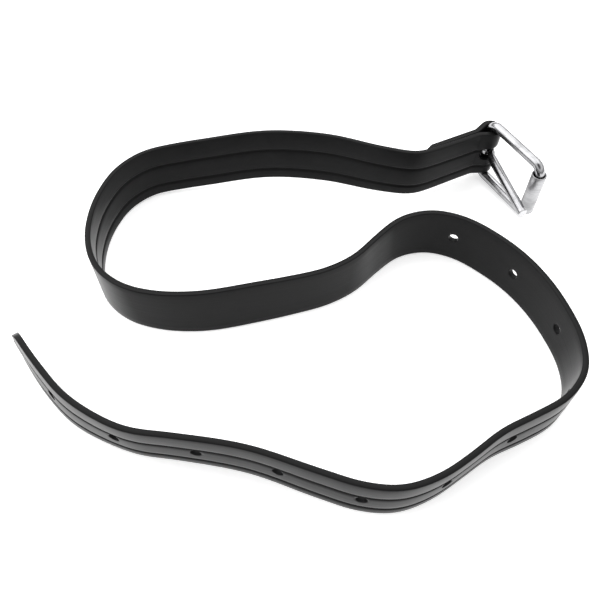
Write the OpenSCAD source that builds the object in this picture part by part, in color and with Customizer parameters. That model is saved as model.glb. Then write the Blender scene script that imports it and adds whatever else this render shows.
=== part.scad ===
// Weight belt for divers: a moulded rubber strap with a folded and bonded buckle end, laid on edge in an S,
// with a bent-rod buckle made of a closed frame, a roller and a tongue.
// Millimetres, +Z up, standing on Z = 0, origin under the middle of the laid-out belt.

/* [Strap] */
// Width of the strap, its height when it stands on edge
strap_w = 50; // [44:1:60]
// Thickness of the strap
strap_t = 5; // [4:0.5:6]
// Size of the curves the strap is laid in, 1 = as found
lay_scale = 1; // [0.8:0.05:1.25]
// Depth of the two long grooves in the outer face
groove_depth = 0.9; // [0.4:0.1:1.4]
// Width of each groove at its mouth
groove_w = 4.6; // [2.6:0.2:5.6]
// Height of the lower groove above the bottom edge
groove_low = 10; // [6:0.5:14]
// Height of the upper groove above the bottom edge
groove_high = 30.5; // [24:0.5:36]

/* [Holes] */
// Diameter of the buckle holes
hole_d = 9; // [8.6:0.1:11]
// Distance from one hole to the next
hole_pitch = 62.6; // [50:0.5:76]
// Number of holes
hole_count = 11; // [6:1:12]
// Distance from the tail tip to the last hole
tail_margin = 62.5; // [40:1:76]

/* [Buckle] */
// Diameter of the frame rod
rod_d = 8.8; // [7:0.1:9.4]
// Distance from the bar axis to the roller axis
frame_len = 67; // [56:1:84]
// Gap between the strap edge and the frame side, each side
side_gap = 0.8; // [0.6:0.1:2]
// Radius of the frame corners at the middle of the rod
bend_r = 8.4; // [7:0.2:10.2]
// Outside diameter of the roller
roller_d = 13.4; // [12.4:0.1:15]
// Bore diameter of the roller
roller_bore = 10.6; // [10:0.1:11]
// Length of the tongue from the bar axis to its tip
tongue_len = 86; // [78:1:100]
// Diameter of the tongue rod
tongue_d = 8.4; // [7:0.1:8.6]
// Outside diameter of the tongue eye
eye_d = 16.4; // [14.4:0.2:16.8]

/* [Loop] */
// Outside diameter of the strap loop around the bar
loop_d = 21; // [19:0.5:22]
// Height of the slot that lets the tongue through
slot_h = 13; // [10.5:0.5:17]
// How far the slot runs behind the bar axis
slot_back = 10.5; // [10:0.5:14]
// Length of the folded and bonded layer behind the bar axis
fold_len = 70; // [56:1:76]
// Length of the thinned end of that layer
skive_len = 8; // [3:1:12]
// Radius of the loop's outer corners
ear_r = 3; // [2:0.5:6]

/* [Pose] */
// Direction of the frame from straight out of the strap
frame_turn = -84; // [-100:1:60]
// Direction of the tongue from the plane of the frame
tongue_turn = -17; // [-24:1:-11]

/* [Hidden] */
$fn = 96;

fit = 0.05;
edge = 1;
// Standing height of the buckle end: the frame rests on its lower rod and carries the strap clear of the floor.
lift = rod_d + side_gap;
frame_w = strap_w + 2 * side_gap + rod_d;
mid_z = lift + strap_w / 2;
low_z = rod_d / 2;
high_z = low_z + frame_w;
straight = fold_len + 2;
level_len = straight;
down_len = 365;
station = 10;
tip_r = strap_w / 2 + 0.5;
roller_z = low_z + bend_r - 2;
roller_len = frame_w - 2 * bend_r + 3;
flare_r = rod_d / 2 + 2.2;
flare_h = bend_r - side_gap - rod_d / 2 + 1;
out_turn = 25;
bar = [183.5, 165.5] * lay_scale;
out = [cos(out_turn), sin(out_turn)];
side_b = [-out[1], out[0]];

// The strap's centre line from the buckle end to the tail: x, y, lean of the top towards the grooved face.
lay = [
  [108.5, 131.5, -6],
  [84, 136.5, -7],
  [30, 154, -13],
  [-26, 160.5, -13],
  [-83, 152, -12],
  [-112, 146.5, -12],
  [-138, 139, -8],
  [-159.5, 120.5, -5],
  [-171.5, 94.5, -3],
  [-176, 65.5, -2],
  [-173.5, 37.5, -2],
  [-163, 12.5, 0],
  [-141, -6.5, 2],
  [-113.5, -15, 3],
  [-84.5, -16.5, 5],
  [-28.5, -6.5, 5],
  [0, 0.5, 2],
  [27.5, 9, 1],
  [51.5, 23, 1],
  [72, 44, 2],
  [93.5, 62.5, 4],
  [119.5, 69, 6],
  [147, 61.5, 6],
  [170, 44.5, 6],
  [189.5, 24, 5],
  [205, -1, 4],
  [215.5, -28, 3],
  [221.5, -56, 2],
  [218.5, -83, 1],
  [201, -105.5, 0],
  [176, -119.5, -1],
  [149.5, -132, 1],
  [125.5, -149, 3],
  [102.5, -164, 2],
  [75, -173.5, 0],
  [47.5, -171.5, -1],
  [21, -163, -1],
  [-33, -144, 1],
  [-90, -134, 3],
  [-118.5, -130, 4],
  [-145.5, -119, 1.5],
  [-171.5, -103, -3.5],
  [-193, -81.5, -5.5],
  [-224, -43, -3.5]
];

inner = bar - out * straight - side_b * strap_t / 2;
start = bar - out * 7 - side_b * strap_t / 2;
rows = concat([[inner[0], inner[1], 0]], [for (r = lay) [r[0] * lay_scale, r[1] * lay_scale, r[2]]]);
last = len(rows) - 1;

function spot(k) = [rows[k][0], rows[k][1]];
function gap(k) = norm(spot(k + 1) - spot(k));
function chord(k) = (spot(k + 1) - spot(k)) / gap(k);
function aim(k) = k == 0 ? -out : k == last ? chord(k - 1) : (chord(k) * gap(k - 1) + chord(k - 1) * gap(k)) / (gap(k) + gap(k - 1));
function curve(k, t) = spot(k) * (1 - 3 * t * t + 2 * t * t * t)
  + aim(k) * gap(k) * (t - 2 * t * t + t * t * t)
  + spot(k + 1) * (3 * t * t - 2 * t * t * t)
  + aim(k + 1) * gap(k) * (t * t * t - t * t);
function slope(k, t) = spot(k) * (6 * t * t - 6 * t)
  + aim(k) * gap(k) * (1 - 4 * t + 3 * t * t)
  + spot(k + 1) * (6 * t - 6 * t * t)
  + aim(k + 1) * gap(k) * (3 * t * t - 2 * t);
function lean(k, t) = rows[k][2] * (1 - t) + rows[k + 1][2] * t;
function stop(k, t) = [curve(k, t)[0], curve(k, t)[1], slope(k, t)[0], slope(k, t)[1], lean(k, t)];
function cuts(k) = max(1, round(gap(k) / station));

// Every station of the sweep: x, y, direction x and y, lean.
stops = concat(
  [[start[0], start[1], -out[0], -out[1], 0]],
  [for (k = [0:last - 1]) for (i = [0:cuts(k) - 1]) stop(k, i / cuts(k))],
  [stop(last - 1, 1)]
);
count = len(stops);
function step_len(i) = norm([stops[i][0] - stops[i - 1][0], stops[i][1] - stops[i - 1][1]]);
// Distance along the strap from the bar axis to each station.
along = [for (i = 0, a = 7; i < count; i = i + 1, a = a + (i < count ? step_len(i) : 0)) a];
total = along[count - 1];
table_x = [for (i = [0:count - 1]) [along[i], stops[i][0]]];
table_y = [for (i = [0:count - 1]) [along[i], stops[i][1]]];
table_lean = [for (i = [0:count - 1]) [along[i], stops[i][4]]];

function height(s) = lift * min(1, max(0, (down_len - s) / (down_len - level_len)));
function foot(s, a) = height(s) + strap_t / 2 * abs(sin(a));

half = strap_t / 2;
section = [
  [-half + edge, 0],
  [half - edge, 0],
  [half, edge],
  [half, groove_low - groove_w / 2],
  [half - groove_depth, groove_low - groove_w / 6],
  [half - groove_depth, groove_low + groove_w / 6],
  [half, groove_low + groove_w / 2],
  [half, groove_high - groove_w / 2],
  [half - groove_depth, groove_high - groove_w / 6],
  [half - groove_depth, groove_high + groove_w / 6],
  [half, groove_high + groove_w / 2],
  [half, strap_w - edge],
  [half - edge, strap_w],
  [-half + edge, strap_w],
  [-half, strap_w - edge],
  [-half, groove_high],
  [-half, groove_low],
  [-half, edge]
];
ring = len(section);
cap = [[17, 0, 1, 2, 3, 4, 16], [16, 4, 5], [16, 5, 6, 7, 8, 15], [15, 8, 9], [15, 9, 10, 11, 12, 13, 14]];

function place(i, p) =
  let (d = [stops[i][2], stops[i][3]] / norm([stops[i][2], stops[i][3]]), a = stops[i][4])
  [
    stops[i][0] - d[1] * (p[0] * cos(a) + (p[1] - strap_w / 2) * sin(a)),
    stops[i][1] + d[0] * (p[0] * cos(a) + (p[1] - strap_w / 2) * sin(a)),
    foot(along[i], a) - p[0] * sin(a) + p[1] * cos(a)
  ];
function quad(i, j) =
  let (n = (j + 1) % ring)
  [
    [i * ring + j, (i + 1) * ring + j, (i + 1) * ring + n],
    [i * ring + j, (i + 1) * ring + n, i * ring + n]
  ];

module run() {
  polyhedron(
    points = [for (i = [0:count - 1]) for (p = section) place(i, p)],
    faces = concat(
      cap,
      [for (i = [0:count - 2]) for (j = [0:ring - 1]) for (f = quad(i, j)) f],
      [for (c = cap) [for (j = [len(c) - 1:-1:0]) (count - 1) * ring + c[j]]]
    ),
    convexity = 10
  );
}

// Puts its children at a distance along the strap: local X along it, Y towards the grooved face, Z up the strap.
module at(s) {
  ahead = [lookup(s + 4, table_x), lookup(s + 4, table_y)] - [lookup(s - 4, table_x), lookup(s - 4, table_y)];
  a = lookup(s, table_lean);
  translate([lookup(s, table_x), lookup(s, table_y), foot(s, a) + strap_w / 2 * cos(a)])
    rotate([0, 0, atan2(ahead[1], ahead[0])])
      rotate([-a, 0, 0])
        translate([0, 0, -strap_w / 2])
          children();
}

// Local X straight out of the strap end, local Y towards the smooth face, origin on the bar axis.
module at_bar() {
  translate([bar[0], bar[1], 0])
    rotate([0, 0, out_turn])
      children();
}

// Where a line from the corner at which the loop leaves the two layers runs in under the loop's skin.
neck_x = 14;
neck_y = strap_t - 0.1;
neck_r = loop_d / 2 - 0.15;
neck_angle = 180 - atan2(neck_y, neck_x) - acos(neck_r / norm([neck_x, neck_y]));
neck = [cos(neck_angle), sin(neck_angle)] * neck_r;

module loop_plan() {
  circle(d = loop_d);
  polygon([[-neck_x, -neck_y], [neck[0], -neck[1]], [neck[0], neck[1]], [-neck_x, neck_y]]);
  polygon([[-fold_len, -0.2], [-neck_x + 1, -0.2], [-neck_x + 1, strap_t], [-fold_len + skive_len, strap_t], [-fold_len, 0.8]]);
}

module strap() {
  color("#2b2c2e")
    difference() {
      union() {
        run();
        at_bar()
          translate([0, 0, lift + 0.2])
            linear_extrude(strap_w - 0.4)
              loop_plan();
      }
      at_bar() {
        cylinder(r = rod_d / 2 + fit, h = high_z + rod_d);
        cylinder(r = flare_r, h = lift + flare_h);
        translate([0, 0, lift + strap_w - flare_h])
          cylinder(r = flare_r, h = lift + flare_h);
        translate([-slot_back + slot_h / 2, -loop_d, mid_z - slot_h / 2])
          cube([slot_back + loop_d, 2 * loop_d, slot_h]);
        translate([-slot_back + slot_h / 2, 0, mid_z])
          rotate([90, 0, 0])
            cylinder(d = slot_h, h = 2 * loop_d, center = true);
        ear(lift + 0.2, 1);
        ear(lift + strap_w - 0.2, -1);
      }
      for (i = [0:hole_count - 1])
        at(total - tail_margin - i * hole_pitch)
          translate([0, 0, strap_w / 2])
            rotate([90, 0, 0])
              cylinder(d = hole_d, h = strap_t + 4, center = true);
      at(total - tip_r)
        difference() {
          translate([0, -10, -10])
            cube([tip_r + 10, 20, strap_w + 20]);
          translate([0, 0, strap_w / 2])
            rotate([90, 0, 0])
              cylinder(r = tip_r, h = 40, center = true);
        }
    }
}

// Rounds one outer corner of the loop; way is +1 at the bottom edge and -1 at the top edge.
module ear(z, way) {
  x = loop_d / 2 - ear_r;
  difference() {
    translate([x, -loop_d, way > 0 ? z - 1 : z - ear_r])
      cube([ear_r + 1, 2 * loop_d, ear_r + 1]);
    translate([x, 0, z + way * ear_r])
      rotate([90, 0, 0])
        cylinder(r = ear_r, h = 3 * loop_d, center = true);
  }
}

// Local X from the bar axis to the roller axis.
module at_frame() {
  at_bar()
    rotate([0, 0, frame_turn])
      children();
}

module corner(x, z, turn) {
  translate([x, 0, z])
    rotate([90, 0, 0])
      rotate([0, 0, turn])
        rotate_extrude(angle = 90)
          translate([bend_r, 0])
            circle(d = rod_d);
}

module side(z) {
  translate([bend_r, 0, z])
    rotate([0, 90, 0])
      cylinder(d = rod_d, h = frame_len - 2 * bend_r);
}

module upright(x) {
  translate([x, 0, low_z + bend_r])
    cylinder(d = rod_d, h = frame_w - 2 * bend_r);
}

module buckle_frame() {
  color("#b9bcc0")
    at_frame() {
      upright(0);
      upright(frame_len);
      side(low_z);
      side(high_z);
      corner(bend_r, low_z + bend_r, 180);
      corner(frame_len - bend_r, low_z + bend_r, 270);
      corner(frame_len - bend_r, high_z - bend_r, 0);
      corner(bend_r, high_z - bend_r, 90);
    }
}

module roller() {
  color("#c8cacd")
    at_frame()
      translate([frame_len, 0, roller_z])
        rotate_extrude()
          translate([roller_bore / 2, 0])
            polygon([
              [0, 0.4],
              [0.4, 0],
              [roller_d / 2 - roller_bore / 2 - 0.4, 0],
              [roller_d / 2 - roller_bore / 2, 0.4],
              [roller_d / 2 - roller_bore / 2, roller_len - 0.4],
              [roller_d / 2 - roller_bore / 2 - 0.4, roller_len],
              [0.4, roller_len],
              [0, roller_len - 0.4]
            ]);
}

module tongue() {
  color("#c1c3c6")
    at_frame()
      rotate([0, 0, tongue_turn])
        translate([0, 0, mid_z])
          difference() {
            union() {
              cylinder(d = eye_d, h = tongue_d, center = true);
              translate([rod_d / 2 + 2, 0, 0])
                rotate([0, 90, 0])
                  cylinder(d = tongue_d, h = tongue_len - rod_d / 2 - 2.6);
              translate([tongue_len - 0.6, 0, 0])
                rotate([0, 90, 0])
                  cylinder(d1 = tongue_d, d2 = tongue_d - 1.2, h = 0.6);
            }
            cylinder(r = rod_d / 2 + fit, h = tongue_d + 2, center = true);
          }
}

strap();
buckle_frame();
roller();
tongue();
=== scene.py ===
# Divers' weight belt: a punched and folded rubber strap laid on edge, with a bent-rod buckle.
import math

import bmesh
import bpy
import numpy as np
from mathutils import Matrix, Vector


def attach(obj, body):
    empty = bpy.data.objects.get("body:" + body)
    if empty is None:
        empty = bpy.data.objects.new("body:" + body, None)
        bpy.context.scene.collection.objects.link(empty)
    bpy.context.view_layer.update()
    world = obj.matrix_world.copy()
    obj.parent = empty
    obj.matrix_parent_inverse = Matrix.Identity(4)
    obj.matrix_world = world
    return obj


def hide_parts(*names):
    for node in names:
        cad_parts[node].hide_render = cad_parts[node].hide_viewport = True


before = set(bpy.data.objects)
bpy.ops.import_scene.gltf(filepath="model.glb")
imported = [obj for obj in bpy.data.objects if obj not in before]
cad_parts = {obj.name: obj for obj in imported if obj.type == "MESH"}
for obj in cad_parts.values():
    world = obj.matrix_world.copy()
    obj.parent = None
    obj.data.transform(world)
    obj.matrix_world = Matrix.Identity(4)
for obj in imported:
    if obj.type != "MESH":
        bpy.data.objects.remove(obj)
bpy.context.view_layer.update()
MM = 0.001

# ---------------------------------------------------------------- camera
# The camera stands over the floor in front of the belt and looks down along +Y.
camera_data = bpy.data.cameras.new("camera")
camera_data.sensor_width = 36.0
camera_data.lens = 42.3
camera_data.clip_start = 0.02
camera = bpy.data.objects.new("camera", camera_data)
bpy.context.scene.collection.objects.link(camera)
camera.location = (0.005, -0.332, 0.5173)
camera.rotation_euler = (math.radians(90.0 - 56.37), 0.0, 0.0)
bpy.context.scene.camera = camera

# ---------------------------------------------------------------- belt sizes, as in the CAD source
STRAP_W = 50.0
STRAP_T = 5.0
LIFT = 9.6
LEVEL_LEN = 72.0
DOWN_LEN = 365.0
FOLD_LEN = 70.0
SKIVE_LEN = 8.0
SLOT_H = 13.0
SLOT_BACK = 10.5
HOLE_D = 9.0
HOLE_PITCH = 62.6
HOLE_COUNT = 11
TAIL_MARGIN = 62.5
TIP_R = 25.5
STATION = 10.0
GROOVES = (10.0, 30.5)
MID_U = STRAP_W / 2
HALF_T = STRAP_T / 2
BAR = np.array([183.5, 165.5])
OUT_TURN = math.radians(25.0)
OUT = np.array([math.cos(OUT_TURN), math.sin(OUT_TURN)])
SIDE_B = np.array([-OUT[1], OUT[0]])

# How the visual strap is folded: the middle radius of its loop, how far behind the bar the loop leaves
# the two layers, how far behind the bar the fold's path ends and the run's begins, and where and how the
# loop's outer corners are rounded.
FOLD_R = 7.8
NECK_X = 14.0
FOLD_REACH = 26.0
EAR_START = 5.5
EAR_R = 2.6
# The straight stretch from there to the first curve is 46 mm long and takes this much of the blank.
STRAIGHT_SHARE = 26.0

# The strap's centre line from the buckle end to the tail: x, y, lean of the top towards the grooved face.
LAY = [
    (108.5, 131.5, -6),
    (84, 136.5, -7),
    (30, 154, -13),
    (-26, 160.5, -13),
    (-83, 152, -12),
    (-112, 146.5, -12),
    (-138, 139, -8),
    (-159.5, 120.5, -5),
    (-171.5, 94.5, -3),
    (-176, 65.5, -2),
    (-173.5, 37.5, -2),
    (-163, 12.5, 0),
    (-141, -6.5, 2),
    (-113.5, -15, 3),
    (-84.5, -16.5, 5),
    (-28.5, -6.5, 5),
    (0, 0.5, 2),
    (27.5, 9, 1),
    (51.5, 23, 1),
    (72, 44, 2),
    (93.5, 62.5, 4),
    (119.5, 69, 6),
    (147, 61.5, 6),
    (170, 44.5, 6),
    (189.5, 24, 5),
    (205, -1, 4),
    (215.5, -28, 3),
    (221.5, -56, 2),
    (218.5, -83, 1),
    (201, -105.5, 0),
    (176, -119.5, -1),
    (149.5, -132, 1),
    (125.5, -149, 3),
    (102.5, -164, 2),
    (75, -173.5, 0),
    (47.5, -171.5, -1),
    (21, -163, -1),
    (-33, -144, 1),
    (-90, -134, 3),
    (-118.5, -130, 4),
    (-145.5, -119, 1.5),
    (-171.5, -103, -3.5),
    (-193, -81.5, -5.5),
    (-224, -43, -3.5),
]


def route():
    """Fine points along the middle of the strap: x, y, lean, and the blank's length from the bar axis."""
    inner = BAR - OUT * (FOLD_LEN + 2.0) - SIDE_B * HALF_T
    rows = [(inner[0], inner[1], 0.0)] + [tuple(float(v) for v in row) for row in LAY]
    spots = [np.array(row[:2]) for row in rows]
    last = len(rows) - 1
    gaps = [float(np.linalg.norm(spots[k + 1] - spots[k])) for k in range(last)]
    chords = [(spots[k + 1] - spots[k]) / gaps[k] for k in range(last)]

    def aim(k):
        if k == 0:
            return -OUT
        if k == last:
            return chords[k - 1]
        return (chords[k] * gaps[k - 1] + chords[k - 1] * gaps[k]) / (gaps[k] + gaps[k - 1])

    def curve(k, t):
        return (
            spots[k] * (1 - 3 * t * t + 2 * t**3)
            + aim(k) * gaps[k] * (t - 2 * t * t + t**3)
            + spots[k + 1] * (3 * t * t - 2 * t**3)
            + aim(k + 1) * gaps[k] * (t**3 - t * t)
        )

    start = BAR - OUT * FOLD_REACH - SIDE_B * HALF_T
    fine = []
    steps = 26
    for i in range(steps):
        f = i / steps
        fine.append((*(start * (1 - f) + inner * f), 0.0, FOLD_REACH + STRAIGHT_SHARE * f))
    along = FOLD_REACH + STRAIGHT_SHARE
    for k in range(last):
        cuts = max(1, round(gaps[k] / STATION))
        for i in range(cuts):
            a, b = curve(k, i / cuts), curve(k, (i + 1) / cuts)
            length = float(np.linalg.norm(b - a))
            for j in range(10):
                t = (i + j / 10) / cuts
                lean = rows[k][2] * (1 - t) + rows[k + 1][2] * t
                fine.append((*curve(k, t), lean, along + length * j / 10))
            along += length
    fine.append((*spots[last], rows[last][2], along))
    return np.array(fine)


def smooth_rows(rows, width):
    """Gaussian smoothing of evenly spaced rows, with both ends held."""
    reach = int(3 * width)
    kernel = np.exp(-0.5 * (np.arange(-reach, reach + 1) / width) ** 2)
    kernel /= kernel.sum()
    head = 2 * rows[0] - rows[reach:0:-1]
    tail = 2 * rows[-1] - rows[-2 : -reach - 2 : -1]
    padded = np.concatenate([head, rows, tail])
    return np.stack([np.convolve(padded[:, c], kernel, mode="valid") for c in range(rows.shape[1])], axis=1)


def resample(rows, key, step):
    """Rows at even steps of the key column."""
    at = np.arange(key[0], key[-1], step)
    at = np.append(at, key[-1])
    return at, np.stack([np.interp(at, key, rows[:, c]) for c in range(rows.shape[1])], axis=1)


def fold():
    """Fine points of the folded end, from the step on the smooth side round the bar and back."""
    neck = np.array([-NECK_X, -HALF_T])
    turn = math.atan2(neck[1], neck[0]) + math.acos(FOLD_R / float(np.linalg.norm(neck)))
    corners = [(-FOLD_LEN, HALF_T), (-NECK_X, HALF_T)]
    for i in range(41):
        a = -turn + 2 * turn * i / 40
        corners.append((FOLD_R * math.cos(a), FOLD_R * math.sin(a)))
    corners += [(-NECK_X, -HALF_T), (-FOLD_REACH, -HALF_T)]
    corners = np.array(corners)
    lengths = np.concatenate([[0.0], np.cumsum(np.linalg.norm(np.diff(corners, axis=0), axis=1))])
    at, even = resample(corners, lengths, 0.25)
    even = smooth_rows(even, 5.0)
    world = BAR + even[:, :1] * OUT + even[:, 1:] * SIDE_B
    return at, even, world


fold_at, fold_local, fold_world = fold()
FOLD_TOTAL = float(fold_at[-1])
run = route()
run_at, run_rows = resample(run[:, :3], run[:, 3], 1.0)
run_rows = np.concatenate([smooth_rows(run_rows[:, :2], 6.0), smooth_rows(run_rows[:, 2:], 20.0)], axis=1)
TOTAL = float(run_at[-1])
# The blank is measured from the end of the folded layer; the run is measured from the bar axis.
SHIFT = FOLD_TOTAL - FOLD_REACH
BLANK_LEN = TOTAL + SHIFT

path_at = np.concatenate([fold_at[:-1], run_at + SHIFT])
path_xy = np.concatenate([fold_world[:-1], run_rows[:, :2]])
path_lean = np.concatenate([np.zeros(len(fold_at) - 1), run_rows[:, 2]])
reach_out = np.concatenate([fold_local[:-1, 0], np.full(len(run_at), -99.0)])
path_turn = np.unwrap(np.arctan2(np.gradient(path_xy[:, 1], path_at), np.gradient(path_xy[:, 0], path_at)))


def lay_point(w, n, u):
    """Where a blank point goes, in metres: w along it, n out of the grooved face, u up the width."""
    x = float(np.interp(w, path_at, path_xy[:, 0]))
    y = float(np.interp(w, path_at, path_xy[:, 1]))
    turn = float(np.interp(w, path_at, path_turn))
    lean = math.radians(float(np.interp(w, path_at, path_lean)))
    out = float(np.interp(w, path_at, reach_out))
    s = w - SHIFT
    foot = LIFT * min(1.0, max(0.0, (DOWN_LEN - s) / (DOWN_LEN - LEVEL_LEN)))
    foot += HALF_T * abs(math.sin(lean))
    if w < SKIVE_LEN:
        n = -HALF_T + (n + HALF_T) * (0.16 + 0.84 * w / SKIVE_LEN)
    if out > EAR_START:
        drop = EAR_R - math.sqrt(max(0.0, EAR_R**2 - (min(out, FOLD_R) - EAR_START) ** 2))
        half = abs(u - MID_U)
        if half > 12.0:
            half -= drop * (half - 12.0) / 13.0
        u = MID_U + math.copysign(half, u - MID_U)
    side = n * math.cos(lean) + (u - MID_U) * math.sin(lean)
    up = u * math.cos(lean) - n * math.sin(lean)
    return Vector(((x - math.sin(turn) * side) * MM, (y + math.cos(turn) * side) * MM, (foot + up) * MM))


def section_points():
    """The strap's cross-section, n across and u up: round edges, full bands and two grooves."""
    h = HALF_T
    r = 1.1
    wide = 2.3
    points = []

    def arc(cn, cu, a0, a1, steps=4):
        for i in range(steps + 1):
            a = math.radians(a0 + (a1 - a0) * i / steps)
            points.append((cn + r * math.cos(a), cu + r * math.sin(a)))

    def groove(u):
        slope = ((wide, 0.0), (1.8, 0.12), (1.3, 0.5), (0.7, 0.85))
        points.extend((h - dn, u - du) for du, dn in slope)
        points.append((h - 0.95, u))
        points.extend((h - dn, u + du) for du, dn in reversed(slope))

    def band(low, high):
        for f in (0.2, 0.4, 0.6, 0.8):
            points.append((h + 0.9 * f * (1 - f), low + (high - low) * f))

    arc(h - r, r, -90, 0)
    points.append((h, 4.5))
    low, high = GROOVES
    groove(low)
    band(low + wide, high - wide)
    groove(high)
    band(high + wide, 47.0)
    arc(h - r, STRAP_W - r, 0, 90)
    arc(-h + r, STRAP_W - r, 90, 180)
    points.extend((-h, u) for u in (43.0, 37.0, 31.0, 25.0, 19.0, 13.0, 7.0))
    arc(-h + r, r, 180, 270)
    return points


def stations():
    """Places of the blank's cross rows: close together in the fold, a few millimetres apart in the run."""
    spots = [0.0, 0.6, 2.0]
    while spots[-1] < FOLD_TOTAL:
        spots.append(spots[-1] + 1.0)
    while spots[-1] < BLANK_LEN - 30.0:
        spots.append(spots[-1] + 4.0)
    while spots[-1] < BLANK_LEN - 2.0:
        spots.append(spots[-1] + 2.0)
    spots.append(BLANK_LEN)
    return spots


def to_object(name, bm):
    """A new object holding this bmesh, linked to the scene."""
    mesh = bpy.data.meshes.new(name)
    bm.to_mesh(mesh)
    bm.free()
    thing = bpy.data.objects.new(name, mesh)
    bpy.context.scene.collection.objects.link(thing)
    return thing


def pull(bm, edges, move):
    """Extrudes a ring of edges and moves the new ring. Returns its vertices and its edges."""
    made = bmesh.ops.extrude_edge_only(bm, edges=edges)["geom"]
    verts = [g for g in made if isinstance(g, bmesh.types.BMVert)]
    bmesh.ops.translate(bm, verts=verts, vec=move)
    front = set(verts)
    return verts, [g for g in made if isinstance(g, bmesh.types.BMEdge) and set(g.verts) <= front]


def shade_smooth(bm):
    """Outward normals and smooth shading on every face."""
    bmesh.ops.recalc_face_normals(bm, faces=bm.faces)
    for f in bm.faces:
        f.smooth = True


def flat_blank():
    """The strap before it is punched and laid out: w along X, n along Y, u along Z."""
    bm = bmesh.new()
    places = stations()
    loop = [bm.verts.new((places[0], n, u)) for n, u in section_points()]
    bm.faces.new(loop)
    edges = [bm.edges.get((loop[i], loop[(i + 1) % len(loop)])) for i in range(len(loop))]
    for before, after in zip(places, places[1:]):
        edges = pull(bm, edges, (after - before, 0.0, 0.0))[1]
    bmesh.ops.contextual_create(bm, geom=edges)
    bmesh.ops.recalc_face_normals(bm, faces=bm.faces)
    return to_object("strap_blank", bm)


def round_cutter(w, radius):
    """A punch through the thickness, on the middle line of the blank."""
    bm = bmesh.new()
    bmesh.ops.create_cone(
        bm,
        cap_ends=True,
        segments=40,
        radius1=radius,
        radius2=radius,
        depth=12.0,
        matrix=Matrix.Translation((w, 0.0, MID_U)) @ Matrix.Rotation(math.radians(90.0), 4, "X"),
    )
    return bm


def slot_cutter():
    """The punch for the tongue's slot: a long round-ended hole that runs round the fold."""
    w_main = SHIFT + SLOT_BACK
    w_fold = FOLD_LEN - SLOT_BACK
    r = SLOT_H / 2
    bm = round_cutter(w_fold + r, r)
    for v in bm.verts:
        if v.co.x > w_fold + r + 1e-4:
            v.co.x += w_main - w_fold - SLOT_H
    return bm


def tip_cutter():
    """What is trimmed off the tail to leave a round tip: a block with a round bite."""
    bm = bmesh.new()
    centre = BLANK_LEN - TIP_R
    near, far = centre + 4.0, centre + 40.0
    outline = [(near, -10.0)]
    for i in range(61):
        a = math.radians(-80.0 + 160.0 * i / 60)
        outline.append((centre + TIP_R * math.cos(a), MID_U + TIP_R * math.sin(a)))
    outline += [(near, 60.0), (far, 60.0), (far, -10.0)]
    loop = [bm.verts.new((w, -6.0, u)) for w, u in outline]
    face = bm.faces.new(loop)
    made = bmesh.ops.extrude_face_region(bm, geom=[face])["geom"]
    verts = [g for g in made if isinstance(g, bmesh.types.BMVert)]
    bmesh.ops.translate(bm, verts=verts, vec=(0.0, 12.0, 0.0))
    bmesh.ops.recalc_face_normals(bm, faces=bm.faces)
    return bm


def cut(target, cutter):
    """Takes the cutter's space out of the target and drops the cutter."""
    step = target.modifiers.new("cut", "BOOLEAN")
    step.operation = "DIFFERENCE"
    step.solver = "EXACT"
    step.object = cutter
    graph = bpy.context.evaluated_depsgraph_get()
    mesh = bpy.data.meshes.new_from_object(target.evaluated_get(graph))
    target.modifiers.remove(step)
    old = target.data
    target.data = mesh
    bpy.data.meshes.remove(old)
    bpy.data.objects.remove(cutter)


HOLES = [TOTAL - TAIL_MARGIN - i * HOLE_PITCH + SHIFT for i in range(HOLE_COUNT)]


def all_punches():
    """Every hole and the slot in one cutter object."""
    bm = slot_cutter()
    for w in HOLES:
        punch = round_cutter(w, HOLE_D / 2)
        mesh = bpy.data.meshes.new("punch")
        punch.to_mesh(mesh)
        punch.free()
        bm.from_mesh(mesh)
        bpy.data.meshes.remove(mesh)
    bmesh.ops.recalc_face_normals(bm, faces=bm.faces)
    return to_object("punches", bm)


def on_rim(co):
    """True if a blank point lies on the wall of a hole, the slot or the round tip."""

    def at_radius(centre, radius):
        return abs(math.hypot(co.x - centre, co.z - MID_U) - radius) < 0.03

    if any(at_radius(w, HOLE_D / 2) for w in HOLES):
        return True
    tip = BLANK_LEN - TIP_R
    if co.x > tip and at_radius(tip, TIP_R):
        return True
    r = SLOT_H / 2
    nearest = min(max(co.x, FOLD_LEN - SLOT_BACK + r), SHIFT + SLOT_BACK - r)
    return at_radius(nearest, r)


def soften_rims(bm):
    """Rounds the punched rims a little, as moulded rubber has them."""
    rims = []
    for e in bm.edges:
        if len(e.link_faces) != 2 or not (on_rim(e.verts[0].co) and on_rim(e.verts[1].co)):
            continue
        if e.calc_face_angle(0.0) > math.radians(50.0) and abs(e.verts[0].co.y) > 1.2:
            rims.append(e)
    bmesh.ops.bevel(
        bm,
        geom=rims,
        offset=0.35,
        offset_type="OFFSET",
        segments=2,
        profile=0.5,
        affect="EDGES",
        clamp_overlap=True,
        material=-1,
    )


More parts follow.
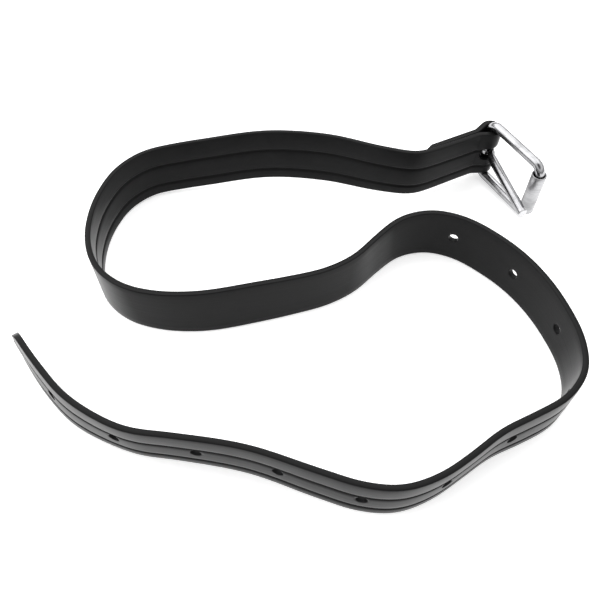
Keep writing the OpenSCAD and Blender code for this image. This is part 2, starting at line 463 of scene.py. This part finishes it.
def make_strap():
    """The whole strap: blank, punched, rims softened, then folded and laid out."""
    strap = flat_blank()
    cut(strap, all_punches())
    cut(strap, to_object("tip_trim", tip_cutter()))
    bm = bmesh.new()
    bm.from_mesh(strap.data)
    bmesh.ops.remove_doubles(bm, verts=bm.verts, dist=0.002)
    soften_rims(bm)
    flat_place = bm.verts.layers.float_vector.new("flat_place")
    worn = bm.verts.layers.float.new("worn")
    groove_shade = bm.verts.layers.float.new("groove_shade")
    for v in bm.verts:
        w, n, u = v.co
        v[flat_place] = Vector((w, u, n)) * MM
        near = min(math.hypot(w - hole, u - MID_U) for hole in HOLES)
        edge = min(u, STRAP_W - u, BLANK_LEN - w)
        v[worn] = max(0.0, 1.0 - (near - HOLE_D / 2) / 5.0, 1.0 - edge / 2.5)
        # Mask for painted shade: 1 in the bottoms of the grooves on the grooved face, where shade falls.
        v[groove_shade] = max(0.0, min(1.0, (HALF_T - n) / 0.8)) if n > 1.2 else 0.0
        v.co = lay_point(w, n, u)
    shade_smooth(bm)
    bm.to_mesh(strap.data)
    bm.free()
    strap.name = "rubber_strap"
    strap.data.set_sharp_from_angle(angle=math.radians(38.0))
    return strap


strap = make_strap()
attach(strap, "strap")
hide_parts("strap")

# ---------------------------------------------------------------- buckle metal
ROD_R = 4.4
BEND_R = 8.4
FRAME_LEN = 67.0
LOW_Z = 4.4
HIGH_Z = 64.8
MID_Z = 34.6
TONGUE_R = 4.2
TONGUE_LEN = 86.0
ROLLER_R = 6.7
ROLLER_BORE_R = 5.3
ROLLER_LOW = 10.8
ROLLER_HIGH = 57.4
FRAME_TURN = math.radians(25.0 - 84.0)
TONGUE_TURN = math.radians(25.0 - 84.0 - 17.0)


def buckle_place(turn):
    """Takes buckle points in millimetres, X away from the bar and Z up, to where the buckle stands."""
    move = Matrix.Translation((BAR[0] * MM, BAR[1] * MM, 0.0))
    return move @ Matrix.Rotation(turn, 4, "Z") @ Matrix.Scale(MM, 4)


def rod_along(name, spots, across, sizes, turn, cut_from=None):
    """A rod bent along planar spots; across is the plane's normal, sizes are half sizes across and in plane."""
    bm = bmesh.new()
    rod_place = bm.verts.layers.float_vector.new("rod_place")
    fresh_cut = bm.verts.layers.float.new("fresh_cut")
    circle = bmesh.ops.create_circle(bm, cap_ends=True, segments=32, radius=1.0)["verts"]
    rings = [circle]
    edges = list(bm.edges)
    for _ in spots[1:]:
        verts, edges = pull(bm, edges, (0.0, 0.0, 1.0))
        rings.append(verts)
    bmesh.ops.contextual_create(bm, geom=edges)
    spots = [Vector(p) for p in spots]
    across = Vector(across)
    length = 0.0
    for k, ring in enumerate(rings):
        ahead = spots[min(k + 1, len(spots) - 1)] - spots[max(k - 1, 0)]
        inward = across.cross(ahead).normalized()
        if k:
            length += (spots[k] - spots[k - 1]).length
        for v in ring:
            a, b = v.co.x * sizes[k][0], v.co.y * sizes[k][1]
            v[rod_place] = Vector((a, b, length)) * MM
            v[fresh_cut] = 1.0 if cut_from is not None and length > cut_from else 0.0
            v.co = spots[k] + across * a + inward * b
    bmesh.ops.transform(bm, matrix=buckle_place(turn), verts=bm.verts)
    shade_smooth(bm)
    rod = to_object(name, bm)
    rod.data.set_sharp_from_angle(angle=math.radians(40.0))
    return rod


def make_frame():
    """The frame rod: bent round four corners from one butted end to the other, both inside the roller."""
    corners = [
        ((FRAME_LEN - BEND_R, HIGH_Z - BEND_R), 0.0),
        ((BEND_R, HIGH_Z - BEND_R), 90.0),
        ((BEND_R, LOW_Z + BEND_R), 180.0),
        ((FRAME_LEN - BEND_R, LOW_Z + BEND_R), 270.0),
    ]
    spots = [(FRAME_LEN, 0.0, MID_Z + 0.2), (FRAME_LEN, 0.0, MID_Z + 11.0)]
    sizes = [(ROD_R, ROD_R), (ROD_R, ROD_R)]
    for (cx, cz), start in corners:
        for i in range(17):
            a = math.radians(start + 90.0 * i / 16)
            squeeze = 0.05 * math.sin(math.pi * i / 16) ** 2
            spots.append((cx + BEND_R * math.cos(a), 0.0, cz + BEND_R * math.sin(a)))
            sizes.append((ROD_R * (1 + squeeze), ROD_R * (1 - squeeze)))
    spots += [(FRAME_LEN, 0.0, MID_Z - 11.0), (FRAME_LEN, 0.0, MID_Z - 0.2)]
    sizes += [(ROD_R, ROD_R), (ROD_R, ROD_R)]
    return rod_along("bent_frame", spots, (0.0, 1.0, 0.0), sizes, FRAME_TURN)


def make_tongue():
    """The tongue: a rod flattened where it is wrapped round the bar, then straight to a cut end."""
    wrap_r = 6.35
    spots = []
    sizes = []
    for i in range(41):
        a = math.radians(-28.0 - 290.0 * i / 40)
        spots.append((wrap_r * math.cos(a), wrap_r * math.sin(a), MID_Z))
        sizes.append((4.7, 1.8))
    first = Vector(spots[-1])
    for i in range(1, 13):
        t = i / 12
        ease = t * t * (3 - 2 * t)
        spots.append((first.x + (12.5 - first.x) * t, first.y * (1 - ease), MID_Z))
        sizes.append((4.7 - 0.5 * ease, 1.8 + (TONGUE_R - 1.8) * ease))
    for x in (22.0, 34.0, 46.0, 60.0, 75.0, 82.0, 85.2):
        spots.append((x, 0.0, MID_Z))
        sizes.append((TONGUE_R, TONGUE_R))
    for x, r in ((85.55, 4.05), (85.85, 3.8), (TONGUE_LEN, 3.45)):
        spots.append((x, 0.0, MID_Z))
        sizes.append((r, r))
    length = sum((Vector(b) - Vector(a)).length for a, b in zip(spots, spots[1:]))
    return rod_along("cut_tongue", spots, (0.0, 0.0, 1.0), sizes, TONGUE_TURN, cut_from=length - 0.7)


def make_roller():
    """The roller: a plain tube with its rims rolled smooth, spun round the frame rod."""
    bm = bmesh.new()
    wall = (ROLLER_R - ROLLER_BORE_R) / 2
    middle = (ROLLER_R + ROLLER_BORE_R) / 2
    outline = []
    for z, way in ((ROLLER_LOW + wall, -1.0), (ROLLER_HIGH - wall, 1.0)):
        for i in range(9):
            a = math.pi * i / 8
            outline.append((middle - way * wall * math.cos(a), z + way * wall * math.sin(a)))
    outline.insert(9, (ROLLER_BORE_R + 2 * wall, MID_Z))
    loop = [bm.verts.new((r, 0.0, z)) for r, z in outline]
    edges = [bm.edges.new((loop[i], loop[(i + 1) % len(loop)])) for i in range(len(loop))]
    bmesh.ops.spin(
        bm,
        geom=loop + edges,
        cent=(0.0, 0.0, 0.0),
        axis=(0.0, 0.0, 1.0),
        angle=2 * math.pi,
        steps=72,
        use_merge=True,
    )
    bmesh.ops.remove_doubles(bm, verts=bm.verts, dist=1e-4)
    rod_place = bm.verts.layers.float_vector.new("rod_place")
    for v in bm.verts:
        v[rod_place] = Vector((v.co.z, v.co.x, v.co.y)) * MM
    bmesh.ops.translate(bm, verts=bm.verts, vec=(FRAME_LEN, 0.0, 0.0))
    bmesh.ops.transform(bm, matrix=buckle_place(FRAME_TURN), verts=bm.verts)
    shade_smooth(bm)
    roller = to_object("tube_roller", bm)
    roller.data.set_sharp_from_angle(angle=math.radians(50.0))
    return roller


bent_frame = make_frame()
cut_tongue = make_tongue()
tube_roller = make_roller()
for piece, node, body, finish in (
    (bent_frame, "buckle_frame", "frame", "rod_steel"),
    (cut_tongue, "tongue", "tongue", "tongue_steel"),
    (tube_roller, "roller", "roller", "roller_steel"),
):
    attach(piece, body)
    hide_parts(node)


# ---------------------------------------------------------------- finishes
def rgb(red, green, blue):
    """An opaque linear colour."""
    return (red, green, blue, 1.0)


def add(tree, kind, **values):
    """A new node of this kind; values set its sockets by name, or else its settings."""
    made = tree.nodes.new(kind)
    for key, value in values.items():
        name = key.replace("_", " ")
        if name in made.inputs:
            made.inputs[name].default_value = value
        else:
            setattr(made, key, value)
    return made


def math_node(tree, operation, a, b, clamp=False):
    """One arithmetic step; a and b are sockets or plain numbers. Returns its result socket."""
    step = tree.nodes.new("ShaderNodeMath")
    step.operation = operation
    step.use_clamp = clamp
    for socket, value in zip(step.inputs, (a, b)):
        if isinstance(value, (int, float)):
            socket.default_value = value
        else:
            tree.links.new(value, socket)
    return step.outputs[0]


def blend_colour(tree, factor, low, high):
    """Mixes two colours by a 0 to 1 socket. low and high are colours or sockets."""
    mix = tree.nodes.new("ShaderNodeMix")
    mix.data_type = "RGBA"
    tree.links.new(factor, mix.inputs["Factor"])
    for socket, value in ((mix.inputs[6], low), (mix.inputs[7], high)):
        if isinstance(value, tuple):
            socket.default_value = value
        else:
            tree.links.new(value, socket)
    return mix.outputs[2]


def spread(tree, value, from_low, from_high, to_low, to_high):
    """Remaps a value socket from one range to another, held at the ends."""
    ramp = tree.nodes.new("ShaderNodeMapRange")
    ramp.inputs["From Min"].default_value = from_low
    ramp.inputs["From Max"].default_value = from_high
    ramp.inputs["To Min"].default_value = to_low
    ramp.inputs["To Max"].default_value = to_high
    tree.links.new(value, ramp.inputs["Value"])
    return ramp.outputs["Result"]


def surface_group():
    """The shared surface effect: lengthwise lines, blotches, fine grain and specks of one place."""
    group = bpy.data.node_groups.new("surface_marks", "ShaderNodeTree")
    face = group.interface
    face.new_socket("Place", in_out="INPUT", socket_type="NodeSocketVector")
    face.new_socket("Line Scale", in_out="INPUT", socket_type="NodeSocketVector")
    face.new_socket("Grain Scale", in_out="INPUT", socket_type="NodeSocketFloat")
    face.new_socket("Blotch Scale", in_out="INPUT", socket_type="NodeSocketFloat")
    for name in ("Lines", "Blotches", "Grain", "Specks"):
        face.new_socket(name, in_out="OUTPUT", socket_type="NodeSocketFloat")
    inside = group.nodes.new("NodeGroupInput")
    outside = group.nodes.new("NodeGroupOutput")
    stretch = group.nodes.new("ShaderNodeVectorMath")
    stretch.operation = "MULTIPLY"
    group.links.new(inside.outputs["Place"], stretch.inputs[0])
    group.links.new(inside.outputs["Line Scale"], stretch.inputs[1])
    lines = add(group, "ShaderNodeTexNoise", Scale=1.0, Detail=4.0, Roughness=0.6)
    group.links.new(stretch.outputs[0], lines.inputs["Vector"])
    blotches = add(group, "ShaderNodeTexNoise", Detail=5.0, Roughness=0.55, Distortion=0.6)
    group.links.new(inside.outputs["Place"], blotches.inputs["Vector"])
    group.links.new(inside.outputs["Blotch Scale"], blotches.inputs["Scale"])
    grain = add(group, "ShaderNodeTexNoise", Detail=3.0, Roughness=0.7)
    group.links.new(inside.outputs["Place"], grain.inputs["Vector"])
    group.links.new(inside.outputs["Grain Scale"], grain.inputs["Scale"])
    pits = add(group, "ShaderNodeTexVoronoi", feature="F1")
    group.links.new(inside.outputs["Place"], pits.inputs["Vector"])
    pit_scale = math_node(group, "MULTIPLY", inside.outputs["Grain Scale"], 0.22)
    group.links.new(pit_scale, pits.inputs["Scale"])
    specks = spread(group, pits.outputs["Distance"], 0.05, 0.16, 1.0, 0.0)
    patches = spread(group, blotches.outputs["Fac"], 0.52, 0.66, 0.0, 1.0)
    specks = math_node(group, "MULTIPLY", specks, patches)
    group.links.new(lines.outputs["Fac"], outside.inputs["Lines"])
    group.links.new(blotches.outputs["Fac"], outside.inputs["Blotches"])
    group.links.new(grain.outputs["Fac"], outside.inputs["Grain"])
    group.links.new(specks, outside.inputs["Specks"])
    return group


MARKS = surface_group()


def finish(name, place, line_scale, grain_scale, blotch_scale):
    """A material with its Principled shader and the shared marks, read from a place attribute."""
    mat = bpy.data.materials.new(name)
    mat.use_nodes = True
    tree = mat.node_tree
    where = add(tree, "ShaderNodeAttribute", attribute_name=place)
    marks = tree.nodes.new("ShaderNodeGroup")
    marks.node_tree = MARKS
    marks.inputs["Line Scale"].default_value = line_scale
    marks.inputs["Grain Scale"].default_value = grain_scale
    marks.inputs["Blotch Scale"].default_value = blotch_scale
    tree.links.new(where.outputs["Vector"], marks.inputs["Place"])
    return mat, tree, tree.nodes["Principled BSDF"], marks.outputs


def relief(tree, shader, height, strength, distance):
    """Bump from a height socket onto the shader."""
    bump = add(tree, "ShaderNodeBump", Strength=strength, Distance=distance)
    tree.links.new(height, bump.inputs["Height"])
    tree.links.new(bump.outputs["Normal"], shader.inputs["Normal"])


def moulded_rubber():
    """Matt black moulded rubber: fine grain, faint lines, greyer where handled, painted shade in the grooves,
    sheen at a low angle.
    """
    mat, tree, skin, marks = finish("moulded_rubber", "flat_place", (14.0, 900.0, 900.0), 2600.0, 42.0)
    worn = add(tree, "ShaderNodeAttribute", attribute_name="worn").outputs["Fac"]
    groove_shade = add(tree, "ShaderNodeAttribute", attribute_name="groove_shade").outputs["Fac"]
    cloudy = spread(tree, marks["Blotches"], 0.35, 0.7, 0.0, 1.0)
    colour = blend_colour(tree, cloudy, rgb(0.0052, 0.0053, 0.0056), rgb(0.0082, 0.0083, 0.0086))
    grainy = spread(tree, marks["Grain"], 0.35, 0.7, 0.0, 0.5)
    rubbed = math_node(tree, "MULTIPLY", worn, grainy, clamp=True)
    colour = blend_colour(tree, rubbed, colour, rgb(0.014, 0.014, 0.0145))
    dusty = math_node(tree, "MULTIPLY", marks["Specks"], 0.35)
    colour = blend_colour(tree, dusty, colour, rgb(0.035, 0.034, 0.032))
    # Painted shade: the groove bottoms are darkened to near black in the base colour.
    colour = blend_colour(tree, groove_shade, colour, rgb(0.003, 0.003, 0.003))
    tree.links.new(colour, skin.inputs["Base Color"])
    rough = spread(tree, marks["Lines"], 0.3, 0.7, 0.40, 0.48)
    rough = math_node(tree, "ADD", rough, math_node(tree, "MULTIPLY", cloudy, 0.06))
    tree.links.new(rough, skin.inputs["Roughness"])
    skin.inputs["Specular IOR Level"].default_value = 0.12
    slant = tree.nodes.new("ShaderNodeLayerWeight")
    slant.inputs["Blend"].default_value = 0.5
    sheen = spread(tree, slant.outputs["Facing"], 0.55, 0.85, 0.0, 0.6)
    # The same painted-shade mask also takes the coat sheen out of the groove bottoms.
    sheen = math_node(tree, "MULTIPLY", sheen, math_node(tree, "SUBTRACT", 1.0, groove_shade, clamp=True))
    tree.links.new(sheen, skin.inputs["Coat Weight"])
    skin.inputs["Coat Roughness"].default_value = 0.34
    height = math_node(tree, "ADD", marks["Grain"], math_node(tree, "MULTIPLY", marks["Lines"], 0.6))
    relief(tree, skin, height, 0.22, 0.00012)
    return mat


def drawn_steel(name, bright, dull, rough_low, rough_high, line_scale, depth):
    """Stainless steel with lines along the draw, dull blotches and tiny pits."""
    mat, tree, metal, marks = finish(name, "rod_place", line_scale, 1800.0, 60.0)
    metal.inputs["Metallic"].default_value = 1.0
    dulled = spread(tree, marks["Blotches"], 0.45, 0.68, 0.0, 1.0)
    colour = blend_colour(tree, dulled, bright, dull)
    streaks = spread(tree, marks["Lines"], 0.46, 0.66, 0.0, 0.55)
    colour = blend_colour(tree, streaks, colour, dull)
    pitted = math_node(tree, "MULTIPLY", marks["Specks"], 0.6)
    colour = blend_colour(tree, pitted, colour, rgb(0.09, 0.085, 0.08))
    cut = add(tree, "ShaderNodeAttribute", attribute_name="fresh_cut").outputs["Fac"]
    colour = blend_colour(tree, cut, colour, rgb(0.60, 0.60, 0.61))
    tree.links.new(colour, metal.inputs["Base Color"])
    rough = spread(tree, marks["Lines"], 0.3, 0.7, rough_low, rough_high)
    rough = math_node(tree, "ADD", rough, math_node(tree, "MULTIPLY", dulled, 0.06))
    rough = math_node(tree, "ADD", rough, math_node(tree, "MULTIPLY", cut, 0.15))
    tree.links.new(rough, metal.inputs["Roughness"])
    height = math_node(tree, "SUBTRACT", marks["Lines"], math_node(tree, "MULTIPLY", marks["Specks"], 0.8))
    relief(tree, metal, height, depth, 0.0001)
    return mat


# How finely the drawn lines repeat across, across and along a rod, and along and around the tube.
RODS = (900.0, 900.0, 16.0)
TUBE = (1400.0, 60.0, 60.0)
ROD_STEEL = (rgb(0.40, 0.40, 0.41), rgb(0.22, 0.22, 0.225), 0.12, 0.24)
TONGUE_STEEL = (rgb(0.37, 0.37, 0.38), rgb(0.18, 0.18, 0.185), 0.14, 0.26)
ROLLER_STEEL = (rgb(0.46, 0.46, 0.47), rgb(0.26, 0.26, 0.265), 0.28, 0.40)
finishes = {
    strap: moulded_rubber(),
    bent_frame: drawn_steel("polished_rod", *ROD_STEEL, RODS, 0.35),
    cut_tongue: drawn_steel("tongue_rod", *TONGUE_STEEL, RODS, 0.4),
    tube_roller: drawn_steel("satin_tube", *ROLLER_STEEL, TUBE, 0.3),
}
for piece, finish_made in finishes.items():
    piece.data.materials.clear()
    piece.data.materials.append(finish_made)
covers = {"strap": strap, "buckle_frame": bent_frame, "tongue": cut_tongue, "roller": tube_roller}
for node, piece in covers.items():
    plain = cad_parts[node]
    plain.data.materials.clear()
    plain.data.materials.append(finishes[piece])

# ---------------------------------------------------------------- floor and light
floor_bm = bmesh.new()
bmesh.ops.create_grid(floor_bm, x_segments=1, y_segments=1, size=4.0)
floor = to_object("floor", floor_bm)
paper = bpy.data.materials.new("pale_paper")
paper.use_nodes = True
tree = paper.node_tree
sheet = tree.nodes["Principled BSDF"]
fibre = add(tree, "ShaderNodeTexNoise", Scale=6.0, Detail=6.0)
tree.links.new(add(tree, "ShaderNodeTexCoord").outputs["Object"], fibre.inputs["Vector"])
pale = blend_colour(tree, fibre.outputs["Fac"], rgb(0.93, 0.93, 0.93), rgb(0.96, 0.96, 0.96))
tree.links.new(pale, sheet.inputs["Base Color"])
tree.links.new(spread(tree, fibre.outputs["Fac"], 0.3, 0.7, 0.85, 0.95), sheet.inputs["Roughness"])
sheet.inputs["Specular IOR Level"].default_value = 0.1
sheet.inputs["Emission Color"].default_value = (1.0, 1.0, 1.0, 1.0)
sheet.inputs["Emission Strength"].default_value = 0.42
floor.data.materials.append(paper)


def soft_box(name, place, size, power):
    """A square studio light that faces the middle of the floor."""
    data = bpy.data.lights.new(name, "AREA")
    data.shape = "SQUARE"
    data.size = size
    data.energy = power
    light = bpy.data.objects.new(name, data)
    light.location = place
    light.rotation_euler = (-Vector(place)).to_track_quat("-Z", "Y").to_euler()
    bpy.context.scene.collection.objects.link(light)


def studio_dome():
    """A bright ceiling that falls to a darker horizon, with a dark patch where the camera stands."""
    world = bpy.data.worlds.new("studio")
    bpy.context.scene.world = world
    world.use_nodes = True
    tree = world.node_tree
    ray = add(tree, "ShaderNodeTexCoord").outputs["Generated"]
    parts = tree.nodes.new("ShaderNodeSeparateXYZ")
    tree.links.new(ray, parts.inputs["Vector"])
    rise = spread(tree, parts.outputs["Z"], 0.05, 0.45, 0.16, 1.25)
    toward = tree.nodes.new("ShaderNodeVectorMath")
    toward.operation = "DOT_PRODUCT"
    toward.inputs[1].default_value = (0.0, -0.55, 0.83)
    tree.links.new(ray, toward.inputs[0])
    dark = spread(tree, toward.outputs["Value"], 0.82, 0.95, 1.0, 0.12)
    strength = math_node(tree, "MULTIPLY", rise, dark)
    tree.links.new(strength, tree.nodes["Background"].inputs["Strength"])
    tree.nodes["Background"].inputs["Color"].default_value = (1.0, 1.0, 1.0, 1.0)


studio_dome()
soft_box("top_light", (-0.2, 0.9, 1.9), 3.2, 42.0)
soft_box("left_light", (-1.8, 0.2, 1.3), 1.6, 12.0)
bpy.context.scene.view_settings.view_transform = "Standard"
